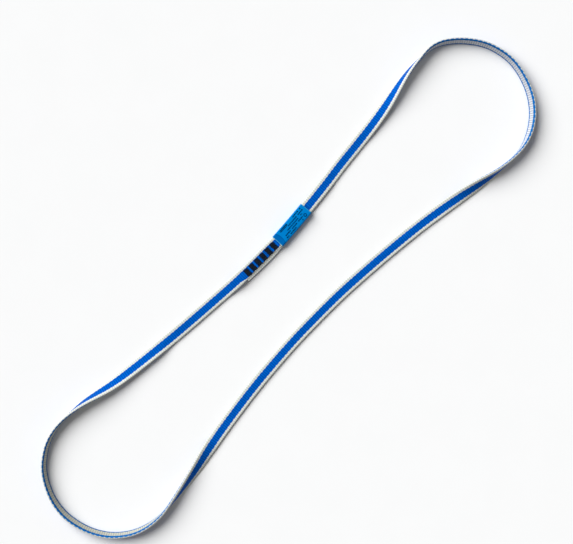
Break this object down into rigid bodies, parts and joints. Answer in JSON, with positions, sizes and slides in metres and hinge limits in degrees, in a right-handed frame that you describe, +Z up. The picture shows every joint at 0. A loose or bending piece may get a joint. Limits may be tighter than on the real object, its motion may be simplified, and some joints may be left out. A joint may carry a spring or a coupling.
{
  "type": "flat web sling",
  "caption": "Sewn endless loop of narrow flat woven tape with a bar-tacked splice under a printed label sleeve; two bights take connectors, the tape folds and the loop closes.",
  "frame": {"origin": "bottom centre of the whole sling, on the surface it lies on", "axes": "+X along the sling's length towards the bight above the label sleeve, +Y across it towards the spliced leg, +Z up off the surface"},
  "size_m": [0.5343, 0.1197, 0.011],
  "materials": {
    "tape": "woven, satin",
    "thread": "twisted thread, matt",
    "label": "printed film, satin"
  },
  "bodies": {
    "spliced_leg_middle": {"tape_splice_lower_layer": "tape", "tape_splice_upper_layer": "tape", "bar_tack_01": "thread", "bar_tack_02": "thread", "bar_tack_03": "thread", "bar_tack_04": "thread", "bar_tack_05": "thread", "bar_tack_06": "thread", "bar_tack_07": "thread", "bar_tack_08": "thread", "bar_tack_09": "thread", "bar_tack_10": "thread", "bar_tack_11": "thread", "tack_thread_jumps": "thread"},
    "label_sleeve": {"label_sleeve": "label"},
    "spliced_leg_upper_inner": {"tape_spliced_leg_upper_inner": "tape"},
    "spliced_leg_upper_outer": {"tape_spliced_leg_upper_outer": "tape"},
    "upper_bight_near": {"tape_upper_bight_near": "tape"},
    "upper_bight_far": {"tape_upper_bight_far": "tape"},
    "plain_leg_upper_outer": {"tape_plain_leg_upper_outer": "tape"},
    "plain_leg_upper_inner": {"tape_plain_leg_upper_inner": "tape"},
    "plain_leg_middle_upper": {"tape_plain_leg_middle_upper": "tape"},
    "spliced_leg_lower_inner": {"tape_spliced_leg_lower_inner": "tape"},
    "spliced_leg_lower_outer": {"tape_spliced_leg_lower_outer": "tape"},
    "lower_bight_near": {"tape_lower_bight_near": "tape"},
    "lower_bight_far": {"tape_lower_bight_far": "tape"},
    "plain_leg_lower_outer": {"tape_plain_leg_lower_outer": "tape"},
    "plain_leg_lower_inner": {"tape_plain_leg_lower_inner": "tape"},
    "plain_leg_middle_lower": {"tape_plain_leg_middle_lower": "tape"}
  },
  "joints": [
    {"name": "label_sleeve_slide", "type": "hinge", "parent": "spliced_leg_middle", "child": "label_sleeve", "pos_m": [-0.0382, 1.0325, 0.0029], "axis": [0, 0, 1], "range_deg": [0, 1.15]},
    {"name": "fold_upper_inner", "type": "hinge", "parent": "spliced_leg_middle", "child": "spliced_leg_upper_inner", "pos_m": [0.094, 0, 0.0011], "axis": [0, -1, 0], "range_deg": [-90, 90]},
    {"name": "fold_upper_outer", "type": "hinge", "parent": "spliced_leg_upper_inner", "child": "spliced_leg_upper_outer", "pos_m": [0.136, 0, 0.0011], "axis": [0, 1, 0], "range_deg": [-90, 90]},
    {"name": "neck_upper_near", "type": "hinge", "parent": "spliced_leg_upper_outer", "child": "upper_bight_near", "pos_m": [0.2028, 0.05799, 0.0055], "axis": [0, 0, 1], "range_deg": [-15, 21]},
    {"name": "crown_upper", "type": "hinge", "parent": "upper_bight_near", "child": "upper_bight_far", "pos_m": [0.2651, 0.00139, 0.0055], "axis": [0, 0, 1], "range_deg": [-42, 30]},
    {"name": "neck_upper_far", "type": "hinge", "parent": "upper_bight_far", "child": "plain_leg_upper_outer", "pos_m": [0.2028, -0.05521, 0.0055], "axis": [0, 0, 1], "range_deg": [-15, 21]},
    {"name": "fold_upper_outer_plain", "type": "hinge", "parent": "plain_leg_upper_outer", "child": "plain_leg_upper_inner", "pos_m": [0.136, 0, 0.0011], "axis": [0, 1, 0], "range_deg": [-90, 90]},
    {"name": "fold_upper_inner_plain", "type": "hinge", "parent": "plain_leg_upper_inner", "child": "plain_leg_middle_upper", "pos_m": [0.094, 0, 0.0011], "axis": [0, -1, 0], "range_deg": [-90, 90]},
    {"name": "fold_lower_inner", "type": "hinge", "parent": "spliced_leg_middle", "child": "spliced_leg_lower_inner", "pos_m": [-0.062, 0, 0.0011], "axis": [0, -1, 0], "range_deg": [-90, 90]},
    {"name": "fold_lower_outer", "type": "hinge", "parent": "spliced_leg_lower_inner", "child": "spliced_leg_lower_outer", "pos_m": [-0.104, 0, 0.0011], "axis": [0, 1, 0], "range_deg": [-90, 90]},
    {"name": "neck_lower_near", "type": "hinge", "parent": "spliced_leg_lower_outer", "child": "lower_bight_near", "pos_m": [-0.2028, 0.05525, 0.0055], "axis": [0, 0, 1], "range_deg": [-21, 15]},
    {"name": "crown_lower", "type": "hinge", "parent": "lower_bight_near", "child": "lower_bight_far", "pos_m": [-0.2651, -0.00136, 0.0055], "axis": [0, 0, 1], "range_deg": [-30, 42]},
    {"name": "neck_lower_far", "type": "hinge", "parent": "lower_bight_far", "child": "plain_leg_lower_outer", "pos_m": [-0.2028, -0.05795, 0.0055], "axis": [0, 0, 1], "range_deg": [-21, 15]},
    {"name": "fold_lower_outer_plain", "type": "hinge", "parent": "plain_leg_lower_outer", "child": "plain_leg_lower_inner", "pos_m": [-0.104, 0, 0.0011], "axis": [0, 1, 0], "range_deg": [-90, 90]},
    {"name": "fold_lower_inner_plain", "type": "hinge", "parent": "plain_leg_lower_inner", "child": "plain_leg_middle_lower", "pos_m": [-0.062, 0, 0.0011], "axis": [0, -1, 0], "range_deg": [-90, 90]}
  ],
  "couplings": [
    {"joint": "crown_upper", "follows": "neck_upper_near", "ratio": -2},
    {"joint": "neck_upper_far", "follows": "neck_upper_near", "ratio": 1},
    {"joint": "neck_lower_near", "follows": "neck_upper_near", "ratio": -1},
    {"joint": "crown_lower", "follows": "neck_upper_near", "ratio": 2},
    {"joint": "neck_lower_far", "follows": "neck_upper_near", "ratio": -1},
    {"joint": "fold_upper_inner_plain", "follows": "fold_upper_inner", "ratio": -1},
    {"joint": "fold_upper_outer_plain", "follows": "fold_upper_outer", "ratio": -1},
    {"joint": "fold_lower_inner_plain", "follows": "fold_lower_inner", "ratio": -1},
    {"joint": "fold_lower_outer_plain", "follows": "fold_lower_outer", "ratio": -1}
  ]
}
